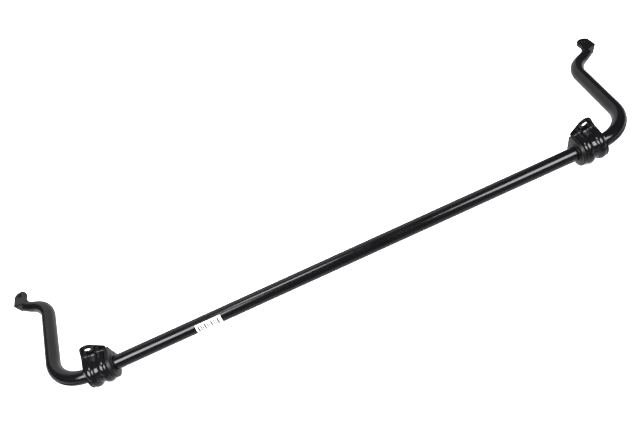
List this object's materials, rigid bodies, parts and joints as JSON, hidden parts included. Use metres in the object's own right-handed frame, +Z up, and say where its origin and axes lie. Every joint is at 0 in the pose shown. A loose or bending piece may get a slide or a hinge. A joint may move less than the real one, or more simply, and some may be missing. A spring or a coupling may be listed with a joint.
{
  "type": "sway bar",
  "caption": "Round steel stabiliser bar with two bent arms ending in forged eyes, carried in split rubber bushes held by ribbed two-bolt saddle brackets.",
  "frame": {"origin": "middle of the assembly in plan, at the height of the lowest bolt ear", "axes": "+X along the straight bar, +Y the way the arms point, +Z up, square to the plane of the arms"},
  "size_m": [1.1968, 0.2828, 0.0945],
  "materials": {
    "bar_paint": "gloss black coating",
    "bracket_coat": "gloss black electrocoat",
    "bush_rubber": "dull",
    "label_film": "satin"
  },
  "bodies": {
    "bar": {"bar": "bar_paint", "label": "label_film"},
    "left_bracket": {"left_bracket": "bracket_coat", "left_bush": "bush_rubber"},
    "right_bracket": {"right_bracket": "bracket_coat", "right_bush": "bush_rubber"}
  },
  "joints": [
    {"name": "left_bracket_swivel", "type": "hinge", "parent": "bar", "child": "left_bracket", "pos_m": [-0.436, -0.11669, 0.04258], "axis": [1, 0, 0], "range_deg": [-30, 30]},
    {"name": "right_bracket_swivel", "type": "hinge", "parent": "bar", "child": "right_bracket", "pos_m": [0.436, -0.11669, 0.04258], "axis": [1, 0, 0], "range_deg": [-30, 30]}
  ]
}
